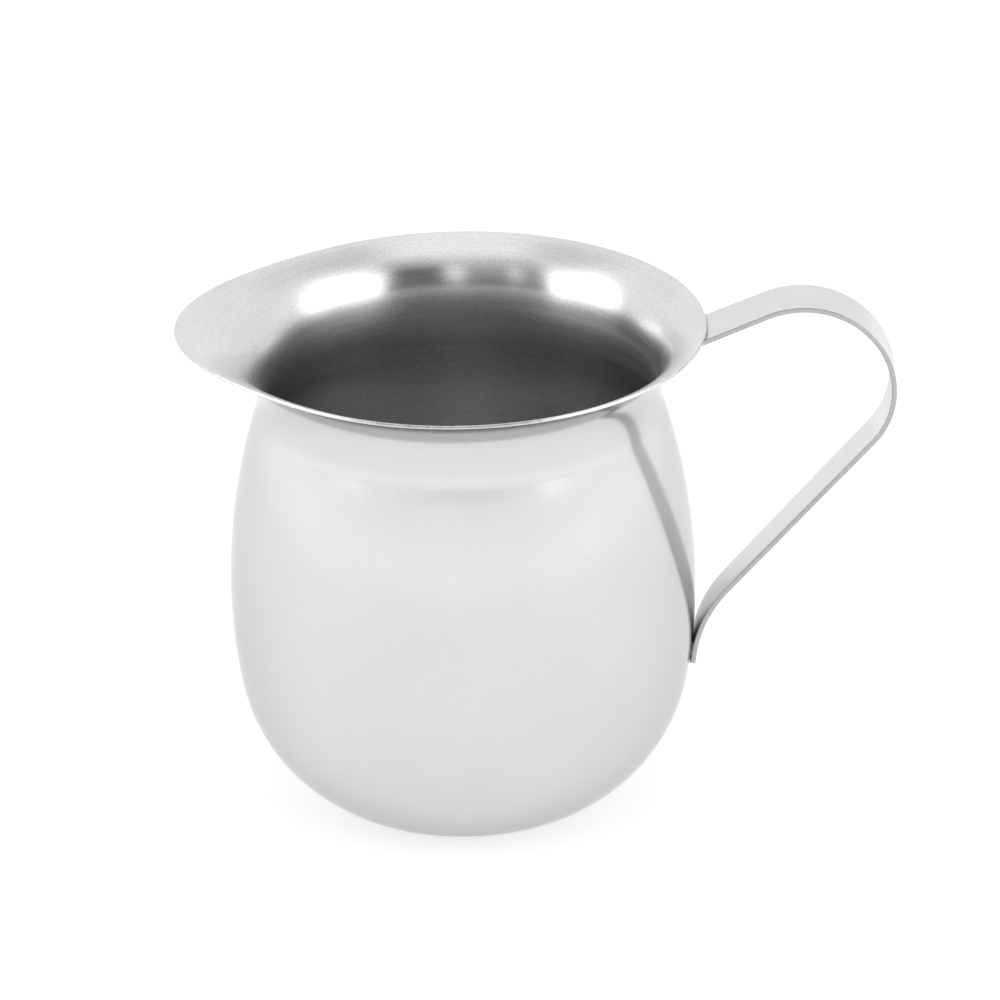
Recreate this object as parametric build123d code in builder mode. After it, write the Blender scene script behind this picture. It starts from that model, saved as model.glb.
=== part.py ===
from build123d import *
import os
from math import asin, atan2, cos, degrees, pi, radians, sin

# Small bell-shaped stainless steel milk pitcher, about a quarter of a litre.
# The frame: +Z up, origin at the centre of the flat base, handle towards +X,
# pouring lip towards -X, and the plane Y = 0 is the pitcher's plane of symmetry.
# All dimensions are in millimetres and degrees.

os.makedirs("parts", exist_ok=True)

# ---- driving dimensions -------------------------------------------------------

wall = 0.5                 # sheet thickness of the drawn shell

belly_radius = 36.0        # widest outer radius
belly_height = 31.1        # height of the widest ring
lower_arc = 83.0           # outer profile radius just under the widest ring
lower_sweep = 9.8          # and the angle that it turns through
round_arc = 25.9           # tighter outer profile radius down to the base
base_corner = 1.2          # outer rounding where the wall meets the flat base
upper_arc = 100.0          # outer profile radius above the widest ring

height = 75.3              # top edge of the rim
rim_radius = 37.3          # top edge of the rim, away from the pouring lip
flare_angle = 70.0         # slope of the lip from the vertical

spout_reach = 5.45         # how far the pouring lip stands out past the round rim
spout_half_angle = 70.0    # the lip fades into the round rim this far to each side

strap_thickness = 0.8
strap_neck_width = 10.0    # the strip narrows evenly from the neck end
strap_foot_width = 6.7     # to the foot end
strap_gap = 0.05           # left between the strap's middle and the wall at the welds
strap_neck_start = 18.0    # slope of the flare, from the vertical, where the strap starts
strap_rise = 23.3          # slope of the strap above the horizontal as it leaves the rim
strap_top_bend = 13.8      # centre-line radii of the bends
strap_hand_bend = 12.4
strap_slant = 40.7         # slope of the long straight run from the vertical
strap_foot_bend = 21.0     # reverse bend where the strap meets the belly
strap_foot_tab = 2.5       # straight end below the lower welds
strap_end_rounding = 2.3

neck_weld_slope = 36.0     # slope of the flare, from the vertical, at the upper welds
lower_weld_height = 21.0
weld_radius = 1.1
weld_spacing = 3.2         # the two spots of a pair, centre to centre
weld_in_wall = 0.22        # how deep the nugget reaches into the shell
weld_in_strap = 0.32       # and into the strap

flare_slopes = [0, 14, 28, 42, 56, 70]   # the flare is sectioned where it has these slopes
cavity_slope = 78                        # the cavity carries on past the lip to clear it
outline_points = 48

lip_overlap = 0.7          # the lip's edge is made this deep before the cavity trims it

# ---- the outer profile --------------------------------------------------------

# The lip is cut square to the sheet, so its outer edge is one wall below the top edge.
lip_radius = rim_radius + wall * cos(radians(flare_angle))
lip_height = height - wall * sin(radians(flare_angle))

# The neck arc is tangent to the upper belly arc and reaches the lip at the flare angle.
upper_centre_radius = belly_radius - upper_arc
flare_sin = sin(radians(flare_angle))
flare_cos = cos(radians(flare_angle))
rise = lip_height - belly_height
reach = lip_radius - upper_centre_radius
neck_arc = (rise**2 + reach**2 - upper_arc**2) / (2 * (upper_arc + rise * flare_sin - reach * flare_cos))
neck_centre_radius = lip_radius + neck_arc * flare_cos
neck_centre_height = lip_height - neck_arc * flare_sin
neck_radius = neck_centre_radius - neck_arc
neck_sweep = degrees(atan2(neck_centre_height - belly_height, neck_centre_radius - upper_centre_radius))

# The round lower arc ends where it meets the base plane.
round_centre_radius = belly_radius - lower_arc + (lower_arc - round_arc) * cos(radians(lower_sweep))
round_centre_height = belly_height - (lower_arc - round_arc) * sin(radians(lower_sweep))
base_slope = degrees(asin(round_centre_height / round_arc))


def wall_slope(z):
    """Slope of the lower belly wall from the vertical, in degrees, at height z."""
    return degrees(asin((belly_height - z) / lower_arc))


def wall_radius(z):
    """Outer radius of the lower belly at height z."""
    return belly_radius - lower_arc + lower_arc * cos(radians(wall_slope(z)))


def belly_section(inset):
    """Half section of the belly from the base to the narrowest ring, offset inwards by inset."""
    foot_angle = degrees(asin((round_centre_height - inset) / (round_arc - inset)))
    with BuildSketch(Plane.XZ) as section:
        with BuildLine():
            lower = JernArc((belly_radius - inset, belly_height), (0, -1), lower_arc - inset, -lower_sweep)
            foot = JernArc(lower @ 1, lower % 1, round_arc - inset, lower_sweep - foot_angle)
            Polyline(foot @ 1, (0, inset), (0, neck_centre_height))
            upper = JernArc((belly_radius - inset, belly_height), (0, 1), upper_arc - inset, neck_sweep)
            neck = JernArc(upper @ 1, upper % 1, neck_arc + inset, -neck_sweep)
            Line(neck @ 1, (0, neck_centre_height))
        make_face()
        base_ring = section.vertices().group_by(Axis.Y)[0].sort_by(Axis.X)[-1]
        fillet(base_ring, base_corner - inset)
    return section.sketch


def spout_weight(angle):
    """1 in the middle of the pouring lip, fading smoothly to 0 at its sides."""
    off = abs(pi - angle) / radians(spout_half_angle)
    return cos(off * pi / 2) ** 4 if off < 1 else 0


def flare_section(slope, inset):
    """Outline of the flare where it slopes this far from the vertical, inset into the sheet."""
    radius = neck_centre_radius - (neck_arc + inset) * cos(radians(slope))
    z = neck_centre_height + (neck_arc + inset) * sin(radians(slope))
    pull = spout_reach * (sin(radians(slope)) / flare_sin) ** 2
    with BuildSketch(Plane.XY.offset(z)) as section:
        if slope == 0:
            Circle(radius)
        else:
            angles = [2 * pi * step / outline_points for step in range(outline_points)]
            radii = [radius + pull * spout_weight(angle) for angle in angles]
            with BuildLine():
                Spline(*[(r * cos(a), r * sin(a)) for r, a in zip(radii, angles)], periodic=True)
            make_face()
    return section.sketch


# ---- the strap's centre line --------------------------------------------------

# The centre line starts under the flare and follows it up to the rim, runs out and over,
# turns down and back, and ends flat on the belly.
# The two straight runs are as long as it takes to close that loop.
stand_off = strap_gap + strap_thickness / 2
strap_neck_bend = neck_arc - stand_off


def under_flare(slope):
    """Point of the strap's centre line where the flare has this slope from the vertical."""
    angle = radians(slope)
    return (
        neck_centre_radius - strap_neck_bend * cos(angle),
        neck_centre_height + strap_neck_bend * sin(angle),
    )


foot_slope = wall_slope(lower_weld_height)
foot_normal = Vector(cos(radians(foot_slope)), 0, -sin(radians(foot_slope)))
foot_seat = Vector(wall_radius(lower_weld_height), 0, lower_weld_height)
foot_point = foot_seat + stand_off * foot_normal
leave_x, leave_z = under_flare(90 - strap_rise)

up, out = sin(radians(strap_rise)), cos(radians(strap_rise))
slant_x, slant_z = sin(radians(strap_slant)), cos(radians(strap_slant))
bends_x = (
    strap_top_bend * (1 + up)
    - strap_hand_bend * (1 - slant_z)
    - strap_foot_bend * (foot_normal.X - slant_z)
)
bends_z = -strap_top_bend * out - strap_hand_bend * slant_x - strap_foot_bend * (slant_x + foot_normal.Z)
span_x = foot_point.X - leave_x - bends_x
span_z = foot_point.Z - leave_z - bends_z
upper_run = (span_x * slant_z - span_z * slant_x) / (out * slant_z - up * slant_x)
lower_run = (upper_run * out - span_x) / slant_x

# ---- weld nuggets -------------------------------------------------------------

# Two spot welds hold each end of the strap. A nugget is the melted disc that reaches
# into both sheets, so shell and strap each have a shallow seat for it.
weld_length = weld_in_wall + strap_gap + weld_in_strap
neck_normal = Vector(cos(radians(neck_weld_slope)), 0, -sin(radians(neck_weld_slope)))
neck_seat = Vector(neck_centre_radius, 0, neck_centre_height) - neck_arc * neck_normal
weld_seats = {"neck_weld": (neck_seat, neck_normal), "belly_weld": (foot_seat, foot_normal)}
weld_sides = {"front": -weld_spacing / 2, "back": weld_spacing / 2}

nuggets = {}
for pair, (seat, normal) in weld_seats.items():
    for side, offset_y in weld_sides.items():
        middle = seat - weld_in_wall * normal + Vector(0, offset_y, 0)
        with BuildPart(Plane(origin=middle, x_dir=(0, 1, 0), z_dir=normal)) as nugget:
            Cylinder(weld_radius, weld_length, align=(Align.CENTER, Align.CENTER, Align.MIN))
        nugget.part.label = f"{pair}_{side}"
        nuggets[nugget.part.label] = nugget.part
        export_step(nugget.part, f"parts/{nugget.part.label}.step")

# ---- body shell ---------------------------------------------------------------

# one drawn sheet: flat base, round belly, narrow neck, flared rim, pulled pouring lip
with BuildPart() as cavity:
    revolve(belly_section(wall), axis=Axis.Z)
    loft([flare_section(slope, wall) for slope in flare_slopes + [cavity_slope]])

with BuildPart() as body_shell:
    revolve(belly_section(0), axis=Axis.Z)
    loft([flare_section(slope, 0) for slope in flare_slopes])
    # the lip's edge, square to the sheet and cut off by the cavity
    loft([flare_section(flare_angle, 0), flare_section(flare_angle, lip_overlap)], ruled=True)
    add(cavity.part, mode=Mode.SUBTRACT)
    add(nuggets.values(), mode=Mode.SUBTRACT)
body_shell.part.label = "body_shell"
export_step(body_shell.part, "parts/body_shell.step")

# ---- handle strap -------------------------------------------------------------

# one flat strip, narrower towards the foot, bent on rolls square to its length
with BuildLine(Plane.XZ) as centre_line:
    under_rim = JernArc(
        under_flare(strap_neck_start),
        (sin(radians(strap_neck_start)), cos(radians(strap_neck_start))),
        strap_neck_bend,
        strap_rise + strap_neck_start - 90,
    )
    rising = PolarLine(under_rim @ 1, upper_run, angle=strap_rise)
    top = JernArc(rising @ 1, rising % 1, strap_top_bend, -90 - strap_rise)
    hand = JernArc(top @ 1, top % 1, strap_hand_bend, -strap_slant)
    falling = Line(hand @ 1, hand @ 1 + lower_run * (hand % 1))
    foot = JernArc(falling @ 1, falling % 1, strap_foot_bend, strap_slant - foot_slope)
    Line(foot @ 1, foot @ 1 + strap_foot_tab * (foot % 1))

with BuildPart() as handle_strap:
    path = centre_line.wire()
    for end, width in {0: strap_neck_width, 1: strap_foot_width}.items():
        with BuildSketch(Plane(origin=path @ end, x_dir=(0, 1, 0), z_dir=path % end)):
            Rectangle(width, strap_thickness)
    sweep(path=path, multisection=True)
    end_faces = [handle_strap.faces().sort_by_distance(path @ end)[0] for end in (0, 1)]
    end_edges = [edge for face in end_faces for edge in face.edges()]
    fillet([edge for edge in end_edges if edge.length < 2 * strap_thickness], strap_end_rounding)
    add(nuggets.values(), mode=Mode.SUBTRACT)
handle_strap.part.label = "handle_strap"
export_step(handle_strap.part, "parts/handle_strap.step")
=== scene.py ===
from math import asin, atan2, cos, degrees, pi, radians, sin, sqrt

import bpy
import numpy as np
from mathutils import Matrix, Vector


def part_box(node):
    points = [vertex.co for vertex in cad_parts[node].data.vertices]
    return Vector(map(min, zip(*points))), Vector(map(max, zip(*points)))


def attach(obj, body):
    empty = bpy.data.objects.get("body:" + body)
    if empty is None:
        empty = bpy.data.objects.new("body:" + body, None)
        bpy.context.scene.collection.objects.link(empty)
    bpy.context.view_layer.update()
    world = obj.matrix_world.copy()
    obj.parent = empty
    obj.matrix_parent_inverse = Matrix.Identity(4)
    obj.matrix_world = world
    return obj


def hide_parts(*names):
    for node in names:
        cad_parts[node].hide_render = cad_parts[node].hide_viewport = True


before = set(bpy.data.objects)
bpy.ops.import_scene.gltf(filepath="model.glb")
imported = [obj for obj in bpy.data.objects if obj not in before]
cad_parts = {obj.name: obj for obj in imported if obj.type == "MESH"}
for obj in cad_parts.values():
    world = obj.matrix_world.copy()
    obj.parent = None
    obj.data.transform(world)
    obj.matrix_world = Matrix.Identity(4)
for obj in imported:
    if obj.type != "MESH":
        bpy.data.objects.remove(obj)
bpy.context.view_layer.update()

MM = 0.001

# ---- sizes, in millimetres and degrees ----------------------------------------------

# The shell's outer sizes come from the frame, and the rest are the part's driving dimensions.
shell_low, shell_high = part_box("body_shell")
HEIGHT = shell_high.z / MM               # top edge of the rim
LIP_RADIUS = shell_high.y / MM           # outer edge of the rim
SPOUT_TIP = -shell_low.x / MM            # outer edge of the pouring lip

WALL = 0.5
FLARE_ANGLE = 70.0                       # slope of the lip from the vertical
BELLY_RADIUS = 36.0
BELLY_HEIGHT = 31.1
LOWER_ARC, LOWER_SWEEP = 83.0, 9.8       # outer profile under the widest ring
ROUND_ARC = 25.9                         # tighter arc down to the base
BASE_CORNER = 1.2
UPPER_ARC = 100.0                        # outer profile above the widest ring
SPOUT_HALF_ANGLE = 70.0

STRAP_THICKNESS = 0.8
STRAP_NECK_WIDTH, STRAP_FOOT_WIDTH = 10.0, 6.7
STRAP_GAP = 0.05
STRAP_NECK_START = 18.0                  # slope of the flare where the strap starts
STRAP_RISE = 23.3
TOP_BEND, HAND_BEND, FOOT_BEND = 13.8, 12.4, 21.0
STRAP_SLANT = 40.7
FOOT_TAB = 2.5
END_ROUNDING = 2.3
LOWER_WELD_HEIGHT = 21.0

# ---- camera --------------------------------------------------------------------------

CAMERA_DISTANCE = 0.648                  # metres
CAMERA_ELEVATION = radians(26.15)
CAMERA_AZIMUTH = radians(2.7)            # turned a little towards the handle
CAMERA_ROLL = radians(1.12)
CAMERA_LENS, SENSOR_WIDTH = 151.0, 36.0
CLIP_START, CLIP_END = 0.01, 20.0
CAMERA_SHIFT = (0.0375, 0.0478)


def make_camera():
    """The camera, solved from the photograph's outlines. Returns the direction towards it."""
    target = Vector((0, 0, HEIGHT * MM / 2))
    back = Vector((
        cos(CAMERA_ELEVATION) * sin(CAMERA_AZIMUTH),
        -cos(CAMERA_ELEVATION) * cos(CAMERA_AZIMUTH),
        sin(CAMERA_ELEVATION),
    ))
    right = Vector((0, 0, 1)).cross(back).normalized()
    up = back.cross(right)
    x_axis = cos(CAMERA_ROLL) * right - sin(CAMERA_ROLL) * up
    y_axis = sin(CAMERA_ROLL) * right + cos(CAMERA_ROLL) * up
    data = bpy.data.cameras.new("camera")
    data.sensor_width = SENSOR_WIDTH
    data.lens = CAMERA_LENS
    data.shift_x, data.shift_y = CAMERA_SHIFT
    data.clip_start, data.clip_end = CLIP_START, CLIP_END
    camera = bpy.data.objects.new("camera", data)
    bpy.context.scene.collection.objects.link(camera)
    position = target + CAMERA_DISTANCE * back
    rotation = Matrix((x_axis, y_axis, back)).transposed().to_4x4()
    camera.matrix_world = Matrix.Translation(position) @ rotation
    bpy.context.scene.camera = camera
    return back


toward_camera = make_camera()

# ---- mesh helpers --------------------------------------------------------------------


def link_mesh(name, vertices, faces):
    """A smooth-shaded object with these vertices, in metres, and faces."""
    mesh = bpy.data.meshes.new(name)
    mesh.from_pydata(vertices, [], faces)
    mesh.validate()
    mesh.polygons.foreach_set("use_smooth", [True] * len(mesh.polygons))
    mesh.update()
    piece = bpy.data.objects.new(name, mesh)
    bpy.context.scene.collection.objects.link(piece)
    return piece


def arc_points(centre, radius, start, end, count, side=1):
    """Points of a profile arc by wall slope: radius side*cos and height sin about the centre."""
    slopes = np.linspace(radians(start), radians(end), count)
    return [(centre[0] + side * radius * cos(a), centre[1] + radius * sin(a), a) for a in slopes]


# ---- the shell's profile --------------------------------------------------------------

lip_height = HEIGHT - WALL * sin(radians(FLARE_ANGLE))
upper_centre = (BELLY_RADIUS - UPPER_ARC, BELLY_HEIGHT)
flare_sin, flare_cos = sin(radians(FLARE_ANGLE)), cos(radians(FLARE_ANGLE))
rise, reach = lip_height - BELLY_HEIGHT, LIP_RADIUS - upper_centre[0]
NECK_ARC = (rise**2 + reach**2 - UPPER_ARC**2) / (2 * (UPPER_ARC + rise * flare_sin - reach * flare_cos))
neck_centre = (LIP_RADIUS + NECK_ARC * flare_cos, lip_height - NECK_ARC * flare_sin)
NECK_SWEEP = degrees(atan2(neck_centre[1] - BELLY_HEIGHT, neck_centre[0] - upper_centre[0]))
lower_centre = (BELLY_RADIUS - LOWER_ARC, BELLY_HEIGHT)
round_centre = (
    lower_centre[0] + (LOWER_ARC - ROUND_ARC) * cos(radians(LOWER_SWEEP)),
    BELLY_HEIGHT - (LOWER_ARC - ROUND_ARC) * sin(radians(LOWER_SWEEP)),
)
SPOUT_REACH = SPOUT_TIP - LIP_RADIUS


def base_corner(inset):
    """Centre of the rounding between the round arc and the base, and the slope where it ends."""
    radius = BASE_CORNER - inset
    height = inset + radius
    reach_out = ROUND_ARC - inset - radius
    drop = round_centre[1] - height
    return (round_centre[0] + sqrt(reach_out**2 - drop**2), height), radius, degrees(asin(drop / reach_out))


CORNER_POINTS, ROUND_POINTS, LOWER_POINTS, UPPER_POINTS, NECK_POINTS = 9, 40, 14, 30, 60


def shell_profile(inset):
    """(radius, height, pull) from the base's edge up to the lip, offset into the sheet by inset.

    The pull is how far the pouring lip's middle stands out there from the round."""
    corner, corner_radius, corner_slope = base_corner(inset)
    points = arc_points(corner, corner_radius, -90, -corner_slope, CORNER_POINTS)
    points += arc_points(round_centre, ROUND_ARC - inset, -corner_slope, -LOWER_SWEEP, ROUND_POINTS)[1:]
    points += arc_points(lower_centre, LOWER_ARC - inset, -LOWER_SWEEP, 0, LOWER_POINTS)[1:]
    points += arc_points(upper_centre, UPPER_ARC - inset, 0, NECK_SWEEP, UPPER_POINTS)[1:]
    points += arc_points(neck_centre, NECK_ARC + inset, -NECK_SWEEP, FLARE_ANGLE, NECK_POINTS, side=-1)[1:]
    pulls = [max(0, sin(a)) if z > neck_centre[1] and r < neck_centre[0] else 0 for r, z, a in points]
    return [(r, z, SPOUT_REACH * (s / flare_sin) ** 2) for (r, z, a), s in zip(points, pulls)]


AROUND = 240                             # vertices in each ring of the shell
BASE_RINGS = (0.4, 2, 5, 9, 13, 17, 20, 22)
LIP_ROUNDING = 0.13                      # of the two corners of the sheet's edge
ROUNDING_POINTS = 5


def lip_profile():
    """The rounded edge of the sheet, from the outer face over to the inner face."""
    along = np.array((flare_sin, flare_cos))
    across = np.array((-flare_cos, flare_sin))
    outer = np.array((LIP_RADIUS, lip_height))
    points = []
    for centre_across, start in ((LIP_ROUNDING, 180), (WALL - LIP_ROUNDING, 90)):
        centre = outer - LIP_ROUNDING * along + centre_across * across
        for angle in np.linspace(radians(start), radians(start - 90), ROUNDING_POINTS):
            points.append(centre + LIP_ROUNDING * (sin(angle) * along + cos(angle) * across))
    return [(r, z, SPOUT_REACH) for r, z in points]


def spout_weight(angle):
    """1 in the middle of the pouring lip, fading smoothly to 0 at its sides."""
    off = abs(pi - angle) / radians(SPOUT_HALF_ANGLE)
    return cos(off * pi / 2) ** 4 if off < 1 else 0.0


def make_shell():
    """The sheet as one mesh: rings of vertices up the outside, over the lip and down the inside."""
    outer, inner = shell_profile(0), shell_profile(WALL)
    trim = [p for p in outer if p[1] < lip_height - LIP_ROUNDING * flare_cos]
    trim_in = [p for p in inner if p[1] < HEIGHT - LIP_ROUNDING * flare_cos]
    base = [(r, 0, 0) for r in BASE_RINGS]
    floor = [(r, WALL, 0) for r in BASE_RINGS[::-1]]
    lip = lip_profile()
    stations = base + trim + lip + trim_in[::-1] + floor
    lip_start = len(base) + len(trim)
    lip_end = lip_start + len(lip) - 2
    angles = [2 * pi * i / AROUND for i in range(AROUND)]
    weights = [spout_weight(a) for a in angles]
    vertices = []
    for r, z, pull in stations:
        for a, w in zip(angles, weights):
            radius = r + pull * w
            vertices.append((radius * cos(a) * MM, radius * sin(a) * MM, z * MM))
    faces = []
    ring_of_face = []
    for ring in range(len(stations) - 1):
        for i in range(AROUND):
            j = (i + 1) % AROUND
            low, high = ring * AROUND, (ring + 1) * AROUND
            faces.append((low + i, low + j, high + j, high + i))
            ring_of_face.append(ring)
    under_middle, floor_middle = len(vertices), len(vertices) + 1
    vertices += [(0, 0, 0), (0, 0, WALL * MM)]
    last_ring = (len(stations) - 1) * AROUND
    for i in range(AROUND):
        j = (i + 1) % AROUND
        faces.append((under_middle, j, i))
        ring_of_face.append(0)
        faces.append((floor_middle, last_ring + i, last_ring + j))
        ring_of_face.append(len(stations))
    shell = link_mesh("pitcher_shell", vertices, faces)
    for material in (outside_steel(), edge_steel(), inside_steel()):
        shell.data.materials.append(material)
    index = [0 if ring < lip_start else 1 if ring < lip_end else 2 for ring in ring_of_face]
    shell.data.polygons.foreach_set("material_index", index)
    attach(shell, "root")
    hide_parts("body_shell")


# ---- the strap -----------------------------------------------------------------------

STATION_STEP = 0.45                      # longest step along the strap's centre line
STRAP_ROUNDING = 0.17                    # of the strip's long edges
FLAT_POINTS, END_POINTS = 11, 13         # across a flat face, and along each rounded end


def wall_slope(z):
    """Slope of the lower belly from the vertical, in radians, at this height."""
    return asin((BELLY_HEIGHT - z) / LOWER_ARC)


def wall_radius(z):
    return BELLY_RADIUS - LOWER_ARC + LOWER_ARC * cos(wall_slope(z))


def strap_line():
    """Stations (x, z, heading, distance) along the strap's centre line, from neck to foot."""
    stand_off = STRAP_GAP + STRAP_THICKNESS / 2
    neck_bend = NECK_ARC - stand_off
    foot_slope = wall_slope(LOWER_WELD_HEIGHT)
    rise_angle, slant = radians(STRAP_RISE), radians(STRAP_SLANT)
    up, out = sin(rise_angle), cos(rise_angle)
    slant_x, slant_z = sin(slant), cos(slant)
    leave_x = neck_centre[0] - neck_bend * up
    leave_z = neck_centre[1] + neck_bend * out
    span_x = wall_radius(LOWER_WELD_HEIGHT) + stand_off * cos(foot_slope) - leave_x
    span_x -= TOP_BEND * (1 + up) - HAND_BEND * (1 - slant_z) - FOOT_BEND * (cos(foot_slope) - slant_z)
    span_z = LOWER_WELD_HEIGHT - stand_off * sin(foot_slope) - leave_z
    span_z += TOP_BEND * out + HAND_BEND * slant_x + FOOT_BEND * (slant_x - sin(foot_slope))
    upper_run = (span_x * slant_z - span_z * slant_x) / (out * slant_z - up * slant_x)
    lower_run = (upper_run * out - span_x) / slant_x
    start = radians(STRAP_NECK_START)
    x = neck_centre[0] - neck_bend * cos(start)
    z = neck_centre[1] + neck_bend * sin(start)
    heading = pi / 2 - start
    moves = [
        (neck_bend, heading - rise_angle),
        (upper_run, 0),
        (TOP_BEND, pi / 2 + rise_angle),
        (HAND_BEND, slant),
        (lower_run, 0),
        (FOOT_BEND, foot_slope - slant),
        (FOOT_TAB, 0),
    ]
    stations = [(x, z, heading, 0.0)]
    distance = 0.0
    for size, turn in moves:
        length = size * abs(turn) if turn else size
        steps = max(2, int(length / STATION_STEP))
        for step in range(steps):
            bend = turn / steps
            middle = heading - bend / 2
            chord = 2 * size * sin(abs(bend) / 2) if turn else length / steps
            x += chord * cos(middle)
            z += chord * sin(middle)
            heading -= bend
            distance += length / steps
            stations.append((x, z, heading, distance))
    return stations


def strap_section(half_width, half_thickness, rounding):
    """Ring of (across, outwards) points, from one flat face over the edge to the other."""
    flat_end, side_end = half_width - rounding, half_thickness - rounding
    flat = np.linspace(-1, 1, FLAT_POINTS) * flat_end

    def corner(side_y, side_h, start):
        angles = np.linspace(radians(start), radians(start - 90), ROUNDING_POINTS)[1:-1]
        return [
            (side_y * flat_end + rounding * cos(a), side_h * side_end + rounding * sin(a))
            for a in angles
        ]

    outer_face = [(y, half_thickness) for y in flat] + corner(1, 1, 90)
    back_edge = [(half_width, side_end), (half_width, -side_end)] + corner(1, -1, 0)
    inner_face = [(y, -half_thickness) for y in flat[::-1]] + corner(-1, -1, -90)
    front_edge = [(-half_width, -side_end), (-half_width, side_end)] + corner(-1, 1, 180)
    return outer_face + back_edge + inner_face + front_edge


def make_strap():
    """The strip as one mesh: a ring of vertices at each distance along its centre line."""
    line = strap_line()
    total = line[-1][3]
    vertices = []
    end_steps = [END_ROUNDING * (1 - cos(a)) for a in np.linspace(0, pi / 2, END_POINTS)]
    distances = end_steps + [s[3] for s in line if END_ROUNDING < s[3] < total - END_ROUNDING]
    distances += [total - d for d in end_steps[::-1]]
    xs, zs, hs, ds = (np.array(column) for column in zip(*line))
    for d in distances:
        x, z, heading = (float(np.interp(d, ds, column)) for column in (xs, zs, hs))
        from_end = min(d, total - d)
        half_width = (STRAP_NECK_WIDTH + (STRAP_FOOT_WIDTH - STRAP_NECK_WIDTH) * d / total) / 2
        if from_end < END_ROUNDING:
            half_width += -END_ROUNDING + sqrt(END_ROUNDING**2 - (END_ROUNDING - from_end) ** 2)
        half_thickness = STRAP_THICKNESS / 2
        if from_end < STRAP_ROUNDING:
            half_thickness += -STRAP_ROUNDING + sqrt(STRAP_ROUNDING**2 - (STRAP_ROUNDING - from_end) ** 2)
        for y, h in strap_section(half_width, half_thickness, STRAP_ROUNDING):
            vertices.append(((x - h * sin(heading)) * MM, y * MM, (z + h * cos(heading)) * MM))
    rings = len(distances)
    size = len(vertices) // rings
    faces = []
    for ring in range(rings - 1):
        for i in range(size):
            j = (i + 1) % size
            low, high = ring * size, (ring + 1) * size
            faces.append((low + i, high + i, high + j, low + j))
    faces.append(tuple(range(size)))
    faces.append(tuple(range((rings - 1) * size, rings * size))[::-1])
    strap = link_mesh("pitcher_strap", vertices, faces)
    strap.data.materials.append(strap_steel())
    strap.data.materials.append(sheared_steel())
    section = strap_section(1.0, STRAP_THICKNESS / 2, STRAP_ROUNDING)
    middles = [(section[i][0] + section[(i + 1) % size][0]) / 2 for i in range(size)]
    cut = [int(abs(y) > 1.0 - STRAP_ROUNDING / 2) for y in middles]
    strap.data.polygons.foreach_set("material_index", cut * (rings - 1) + [1, 1])
    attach(strap, "root")
    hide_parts("handle_strap")


# ---- materials -----------------------------------------------------------------------

NOISE_LOW, NOISE_HIGH = 0.3, 0.7         # most of what a noise node gives lies between these
SCRATCH_EDGE = 0.006                     # half width of a scratch, as a share of its noise
PATCH_SCALE, PATCH_EDGE = 0.09, 0.08     # of the patches where the scratches are


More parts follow.
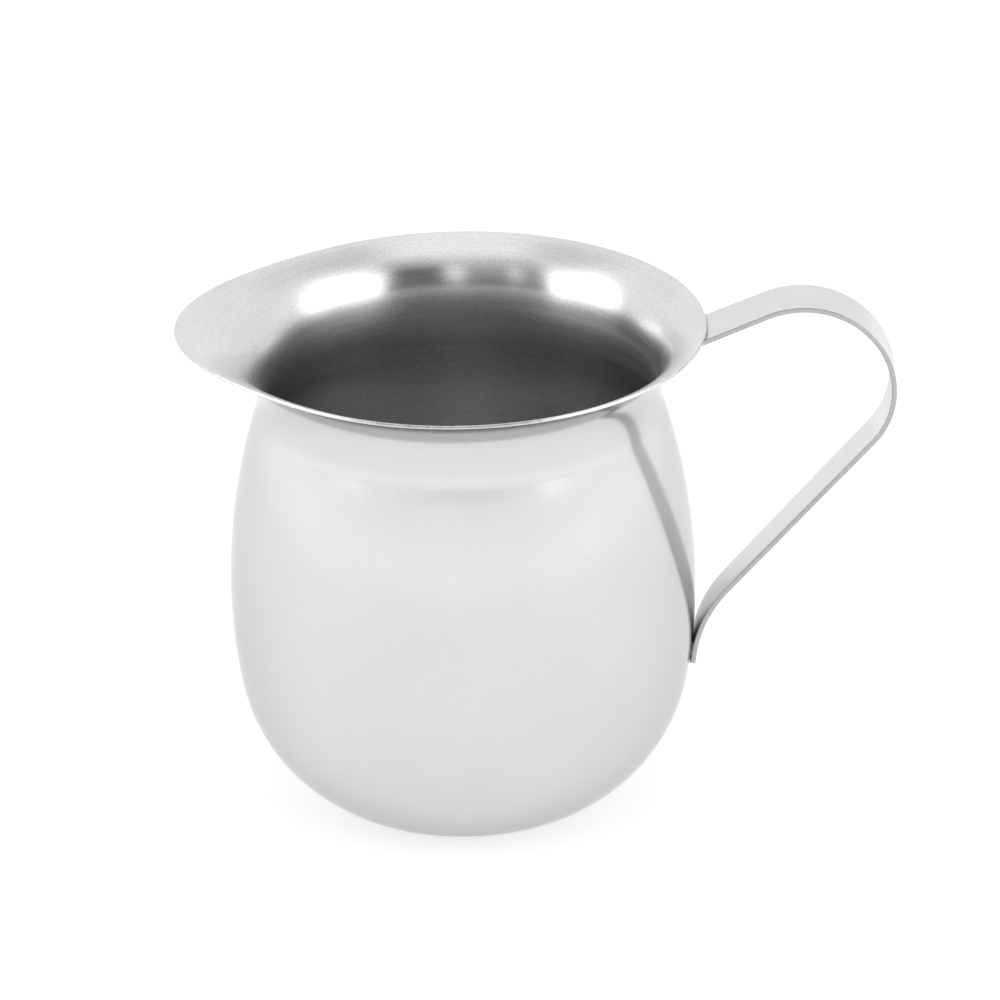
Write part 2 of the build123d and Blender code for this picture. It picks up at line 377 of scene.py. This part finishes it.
class Nodes:
    """A material's node tree, with short calls to add nodes and join them."""

    def __init__(self, name):
        self.material = bpy.data.materials.new(name)
        self.material.use_nodes = True
        self.tree = self.material.node_tree
        self.shader = self.tree.nodes["Principled BSDF"]

    def put(self, target, socket, value):
        """Set a socket to a number, or link it to another node's output."""
        if hasattr(value, "is_output"):
            self.tree.links.new(value, target.inputs[socket])
        else:
            target.inputs[socket].default_value = value

    def math(self, operation, *values):
        node = self.tree.nodes.new("ShaderNodeMath")
        node.operation = operation
        for slot, value in enumerate(values):
            self.put(node, slot, value)
        return node.outputs["Value"]

    def place(self):
        """The point on the surface, in millimetres of the frame."""
        coordinates = self.tree.nodes.new("ShaderNodeTexCoord")
        scaled = self.tree.nodes.new("ShaderNodeVectorMath")
        scaled.operation = "SCALE"
        self.put(scaled, 0, coordinates.outputs["Object"])
        scaled.inputs["Scale"].default_value = 1 / MM
        return scaled.outputs["Vector"]

    def split(self, vector):
        node = self.tree.nodes.new("ShaderNodeSeparateXYZ")
        self.put(node, "Vector", vector)
        return node.outputs["X"], node.outputs["Y"], node.outputs["Z"]

    def join(self, x, y, z):
        node = self.tree.nodes.new("ShaderNodeCombineXYZ")
        for socket, value in zip("XYZ", (x, y, z)):
            self.put(node, socket, value)
        return node.outputs["Vector"]

    def stretch(self, vector, scales):
        """The vector with each coordinate times its own scale."""
        node = self.tree.nodes.new("ShaderNodeVectorMath")
        node.operation = "MULTIPLY"
        self.put(node, 0, vector)
        node.inputs[1].default_value = scales
        return node.outputs["Vector"]

    def from_axis(self, x, y):
        """Distance from the pitcher's axis."""
        return self.math("SQRT", self.math("ADD", self.math("MULTIPLY", x, x), self.math("MULTIPLY", y, y)))

    def noise(self, vector, scale, detail=2.0, roughness=0.5):
        node = self.tree.nodes.new("ShaderNodeTexNoise")
        self.put(node, "Vector", vector)
        self.put(node, "Scale", scale)
        self.put(node, "Detail", detail)
        self.put(node, "Roughness", roughness)
        return node.outputs["Fac"]

    def spread(self, value, low, high, new_low, new_high, smooth=False):
        """The value's range from low to high, turned into the range from new_low to new_high."""
        node = self.tree.nodes.new("ShaderNodeMapRange")
        if smooth:
            node.interpolation_type = "SMOOTHSTEP"
        self.put(node, "Value", value)
        ends = {"From Min": low, "From Max": high, "To Min": new_low, "To Max": new_high}
        for socket, number in ends.items():
            self.put(node, socket, number)
        return node.outputs["Result"]

    def vary(self, noise, low, high):
        """A value that follows a noise from low to high."""
        return self.spread(noise, NOISE_LOW, NOISE_HIGH, low, high)

    def bump(self, height, depth, normal=None):
        """Relief of this depth in millimetres where height runs from 0 to 1."""
        node = self.tree.nodes.new("ShaderNodeBump")
        node.inputs["Strength"].default_value = 1.0
        node.inputs["Distance"].default_value = depth * MM
        self.put(node, "Height", height)
        if normal is not None:
            self.put(node, "Normal", normal)
        return node.outputs["Normal"]

    def grey(self, value, tint=(1.0, 1.0, 1.0)):
        """A colour with this value, leaning a little to the tint."""
        node = self.tree.nodes.new("ShaderNodeCombineColor")
        for socket, share in zip(("Red", "Green", "Blue"), tint):
            self.put(node, socket, self.math("MULTIPLY", value, share))
        return node.outputs["Color"]

    def scratches(self, vector, turn, length, width, amount):
        """Sparse hairline scratches: 1 in a scratch, 0 elsewhere."""
        rotate = self.tree.nodes.new("ShaderNodeVectorRotate")
        rotate.rotation_type = "EULER_XYZ"
        rotate.inputs["Rotation"].default_value = turn
        self.put(rotate, "Vector", vector)
        x, y, z = self.split(rotate.outputs["Vector"])
        sizes = ((x, length), (y, width), (z, length))
        lines = self.noise(self.join(*(self.math("DIVIDE", v, size) for v, size in sizes)), 1.0, 0.0)
        ridge = self.math("ABSOLUTE", self.math("SUBTRACT", lines, 0.5))
        thin = self.spread(ridge, 0.0, SCRATCH_EDGE, 1.0, 0.0)
        start = 1 - amount
        patch = self.spread(self.noise(vector, PATCH_SCALE, 1.0), start, start + PATCH_EDGE, 0.0, 1.0)
        return self.math("MULTIPLY", thin, patch)


STEEL_TINT = (1.0, 0.999, 0.997)
WELD_TINT = (1.0, 0.95, 0.88)


def finish_steel(nodes, value, roughness, normal, tint=STEEL_TINT, glancing=1.0, anisotropic=0.0):
    """Joins a steel's shader. Glancing is how bright it stays where it is seen at a flat angle."""
    nodes.shader.inputs["Metallic"].default_value = 1.0
    nodes.shader.inputs["Anisotropic"].default_value = anisotropic
    nodes.shader.inputs["Anisotropic Rotation"].default_value = 0.25
    nodes.shader.inputs["Specular Tint"].default_value = (glancing, glancing, glancing, 1.0)
    nodes.put(nodes.shader, "Base Color", nodes.grey(value, tint))
    nodes.put(nodes.shader, "Roughness", roughness)
    nodes.put(nodes.shader, "Normal", normal)
    return nodes.material


def outside_steel():
    """Satin-polished skin: fine grain, faint waves left by the drawing, a few hairline scratches."""
    nodes = Nodes("outside_steel")
    place = nodes.place()
    grain = nodes.noise(place, 3.2, 3.0, 0.65)
    clouds = nodes.noise(place, 0.06, 3.0)
    smears = nodes.noise(place, 0.16, 4.0, 0.6)
    lines = nodes.math(
        "MAXIMUM",
        nodes.scratches(place, (0.3, 0.5, 0.9), 16.0, 1.6, 0.45),
        nodes.scratches(place, (1.2, 0.2, 2.2), 11.0, 1.3, 0.42),
    )
    value = nodes.vary(clouds, 0.635, 0.655)
    value = nodes.math("SUBTRACT", value, nodes.math("MULTIPLY", lines, 0.02))
    value = nodes.math("ADD", value, nodes.vary(grain, -0.012, 0.012))
    roughness = nodes.vary(smears, 0.12, 0.17)
    roughness = nodes.math("ADD", roughness, nodes.math("MULTIPLY", lines, 0.05))
    waves = nodes.bump(nodes.noise(place, 0.05, 1.0), 0.05)
    satin = nodes.bump(grain, 0.0035, waves)
    scored = nodes.bump(nodes.math("SUBTRACT", 1.0, lines), 0.003, satin)
    return finish_steel(nodes, value, roughness, scored, glancing=0.82)


def edge_steel():
    """The lip's cut and rounded edge."""
    nodes = Nodes("edge_steel")
    place = nodes.place()
    burrs = nodes.noise(place, 1.4, 3.0, 0.6)
    value = nodes.vary(burrs, 0.62, 0.76)
    roughness = nodes.vary(burrs, 0.24, 0.38)
    return finish_steel(nodes, value, roughness, nodes.bump(burrs, 0.02))


# The inside's brightness in the belly, and how it changes between two heights in millimetres:
# this is painted shade, darkest just under the neck, and painted highlights up the neck and the flare; the
# flare is also polished.
INSIDE_PAINTED_SHADE_AND_LIGHT = [(47.0, 57.0, -0.20), (58.5, 64.0, 0.18), (66.0, 70.5, 0.20)]
INSIDE_VALUE = 0.54
POLISH_LOW, POLISH_HIGH = 65.0, 70.0


def inside_steel():
    """Spun inside: rings around the axis, a polished flare, and painted shade under the neck with painted
    highlights on the neck and the flare.
    """
    nodes = Nodes("inside_steel")
    place = nodes.place()
    x, y, z = nodes.split(place)
    radius = nodes.from_axis(x, y)
    along = nodes.math("ADD", z, radius)
    turned = nodes.math("MAXIMUM", radius, 0.5)
    ring_place = nodes.join(nodes.math("DIVIDE", x, turned), nodes.math("DIVIDE", y, turned), along)
    fine_rings = nodes.noise(nodes.stretch(ring_place, (0.5, 0.5, 2.4)), 1.0, 5.0, 0.7)
    wide_rings = nodes.noise(nodes.stretch(ring_place, (0.4, 0.4, 0.5)), 1.0, 2.0)
    polish = nodes.spread(z, POLISH_LOW, POLISH_HIGH, 0.0, 1.0, smooth=True)
    clouds = nodes.noise(place, 0.09, 3.0)
    grain = nodes.noise(place, 3.0, 3.0, 0.65)
    value = INSIDE_VALUE
    # painted shade and painted highlights, by height
    for low, high, change in INSIDE_PAINTED_SHADE_AND_LIGHT:
        value = nodes.math("ADD", value, nodes.spread(z, low, high, 0.0, change, smooth=True))
    value = nodes.math("ADD", value, nodes.vary(fine_rings, -0.03, 0.03))
    value = nodes.math("ADD", value, nodes.vary(clouds, -0.02, 0.02))
    value = nodes.math("ADD", value, nodes.vary(grain, -0.06, 0.06))
    roughness = nodes.spread(polish, 0.0, 1.0, 0.40, 0.23)
    roughness = nodes.math("ADD", roughness, nodes.vary(wide_rings, -0.03, 0.03))
    relief = nodes.bump(grain, 0.003, nodes.bump(fine_rings, 0.003))
    tangent = nodes.tree.nodes.new("ShaderNodeTangent")
    tangent.direction_type = "RADIAL"
    tangent.axis = "Z"
    nodes.put(nodes.shader, "Tangent", tangent.outputs["Tangent"])
    return finish_steel(nodes, value, roughness, relief, anisotropic=0.8)


def strap_steel():
    """Cold-rolled strip: satin lines along its length, a little wear where it is held."""
    nodes = Nodes("strap_steel")
    place = nodes.place()
    lines = nodes.noise(nodes.stretch(place, (0.12, 5.0, 0.12)), 1.0, 4.0, 0.6)
    clouds = nodes.noise(place, 0.12, 3.0)
    rubbed = nodes.scratches(place, (0.2, 1.1, 0.4), 6.0, 0.9, 0.45)
    value = nodes.vary(clouds, 0.76, 0.80)
    value = nodes.math("ADD", value, nodes.vary(lines, -0.02, 0.02))
    value = nodes.math("SUBTRACT", value, nodes.math("MULTIPLY", rubbed, 0.05))
    roughness = nodes.vary(clouds, 0.30, 0.36)
    satin = nodes.bump(lines, 0.004)
    grain = nodes.bump(nodes.noise(place, 3.2, 3.0, 0.65), 0.003, satin)
    return finish_steel(nodes, value, roughness, grain, glancing=0.85)


def sheared_steel():
    """The strip's cut edges: duller, with short shear marks across them."""
    nodes = Nodes("sheared_steel")
    place = nodes.place()
    marks = nodes.noise(place, 2.6, 3.0, 0.6)
    value = nodes.vary(marks, 0.40, 0.52)
    roughness = nodes.vary(marks, 0.34, 0.46)
    return finish_steel(nodes, value, roughness, nodes.bump(marks, 0.02))


def weld_steel():
    """Melted steel of a spot weld, a little straw-coloured from the heat."""
    nodes = Nodes("weld_steel")
    place = nodes.place()
    mottle = nodes.noise(place, 1.6, 4.0, 0.6)
    value = nodes.vary(mottle, 0.34, 0.46)
    roughness = nodes.vary(mottle, 0.38, 0.52)
    return finish_steel(nodes, value, roughness, nodes.bump(mottle, 0.03), tint=WELD_TINT)


# ---- stage ---------------------------------------------------------------------------

# The floor is a light table, lit a little from below. Its glow is weaker where the pitcher stands, which is
# a painted shadow.
FLOOR_GLOW, FLOOR_GLOW_PAINTED_SHADOW = 0.61, 0.54
NEAR_FLOOR, FAR_FLOOR = 220.0, 390.0     # the one turns into the other this far from the axis
FLOOR_HALF = 3.0                         # half the side of the floor, in metres
FLOOR_GREY, FLOOR_ROUGHNESS, FLOOR_SHINE = 0.6, 0.9, 0.1


def make_floor():
    corners = [(x * FLOOR_HALF, y * FLOOR_HALF, 0) for x, y in ((-1, -1), (1, -1), (1, 1), (-1, 1))]
    floor = link_mesh("floor", corners, [(0, 1, 2, 3)])
    nodes = Nodes("floor_white")
    nodes.shader.inputs["Base Color"].default_value = (FLOOR_GREY, FLOOR_GREY, FLOOR_GREY, 1)
    nodes.shader.inputs["Roughness"].default_value = FLOOR_ROUGHNESS
    nodes.shader.inputs["Specular IOR Level"].default_value = FLOOR_SHINE
    nodes.shader.inputs["Emission Color"].default_value = (1, 1, 1, 1)
    x, y, z = nodes.split(nodes.place())
    away = nodes.from_axis(x, y)
    # painted shadow: the glow is weaker near the pitcher
    glow = nodes.spread(away, NEAR_FLOOR, FAR_FLOOR, FLOOR_GLOW_PAINTED_SHADOW, FLOOR_GLOW, smooth=True)
    nodes.put(nodes.shader, "Emission Strength", glow)
    floor.data.materials.append(nodes.material)


# The studio by direction: middle azimuth from the camera's, half width, softness of the sides,
# lowest elevation and its softness, highest elevation and its softness (all in degrees), radiance.
# Each row covers the ones before it, and ROOM is what none of them covers.
ROOM = 1.0
DIRECTIONS = [
    (0, 180, 10, 56, 14, 100, 10, 1.15),     # the ceiling
    (-108, 36, 20, 50, 14, 72, 14, 0.72),    # and its darker edge at both sides
    (108, 36, 20, 50, 14, 72, 14, 0.72),
    (0, 100, 24, -30, 10, 11, 4, 1.21),      # the far end of the table
    (0, 60, 16, 13, 5, 60, 18, 0.5),         # the unlit front of the room
    (0, 60, 16, 13, 5, 34, 20, 0.08),        # which is darkest low down
    (24, 16, 10, 13, 5, 50, 18, 0.05),       # and to the right
    (1, 6, 7, 25, 10, 45, 12, 1.30),         # two windows behind the camera
    (-35, 4, 6, 26, 8, 44, 12, 1.1),
    (-77, 22, 13, 9, 5, 37, 24, 3.2),        # the left soft box
    (-71, 1, 2, 9, 5, 37, 22, 1.2),          # and a bar across it
    (67, 23, 15, 9, 5, 40, 24, 3.0),         # the right soft box
]


def make_world():
    """The world's light by direction: ROOM, covered by one row of DIRECTIONS after the other."""
    world = bpy.data.worlds.new("studio")
    bpy.context.scene.world = world
    world.use_nodes = True
    tree = world.node_tree
    background = tree.nodes["Background"]
    background.inputs["Color"].default_value = (1, 1, 1, 1)
    direction = tree.nodes.new("ShaderNodeTexCoord").outputs["Generated"]

    def link(kind, operation, *values):
        node = tree.nodes.new(kind)
        node.operation = operation
        for slot, value in enumerate(values):
            if hasattr(value, "is_output"):
                tree.links.new(value, node.inputs[slot])
            else:
                node.inputs[slot].default_value = value
        return node

    def number(operation, *values):
        return link("ShaderNodeMath", operation, *values).outputs["Value"]

    def across(vector):
        return link("ShaderNodeVectorMath", "DOT_PRODUCT", direction, vector).outputs["Value"]

    def step(value, edge, soft):
        """0 below the edge and 1 above it, or the other way round where soft is negative."""
        node = tree.nodes.new("ShaderNodeMapRange")
        node.interpolation_type = "SMOOTHSTEP"
        tree.links.new(value, node.inputs["Value"])
        for socket, end in (("From Min", edge - soft / 2), ("From Max", edge + soft / 2)):
            node.inputs[socket].default_value = end
        return node.outputs["Result"]

    forward = Vector((toward_camera.x, toward_camera.y, 0)).normalized()
    rightward = Vector((0, 0, 1)).cross(forward)
    elevation = number("DEGREES", number("ARCSINE", across(Vector((0, 0, 1)))))

    def panel(azimuth, half_width, side_soft, low, low_soft, high, high_soft):
        """How much of this row of DIRECTIONS covers the direction: 0 to 1."""
        turn = radians(azimuth)
        ahead = across(cos(turn) * forward + sin(turn) * rightward)
        aside = across(cos(turn) * rightward - sin(turn) * forward)
        off = number("ABSOLUTE", number("DEGREES", number("ARCTAN2", aside, ahead)))
        between = number("MULTIPLY", step(elevation, low, low_soft), step(elevation, high, -high_soft))
        return number("MULTIPLY", step(off, half_width, -side_soft), between)

    radiance = ROOM
    for *shape, level in DIRECTIONS:
        cover = panel(*shape)
        kept = number("MULTIPLY", radiance, number("SUBTRACT", 1.0, cover))
        radiance = number("ADD", kept, number("MULTIPLY", cover, level))
    tree.links.new(radiance, background.inputs["Strength"])


def finish_welds():
    """The weld nuggets keep their CAD shape and only get their material."""
    finish = weld_steel()
    for name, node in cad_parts.items():
        if "_weld_" in name:
            node.data.materials.clear()
            node.data.materials.append(finish)


bpy.context.scene.view_settings.view_transform = "Standard"
make_shell()
make_strap()
finish_welds()
make_floor()
make_world()
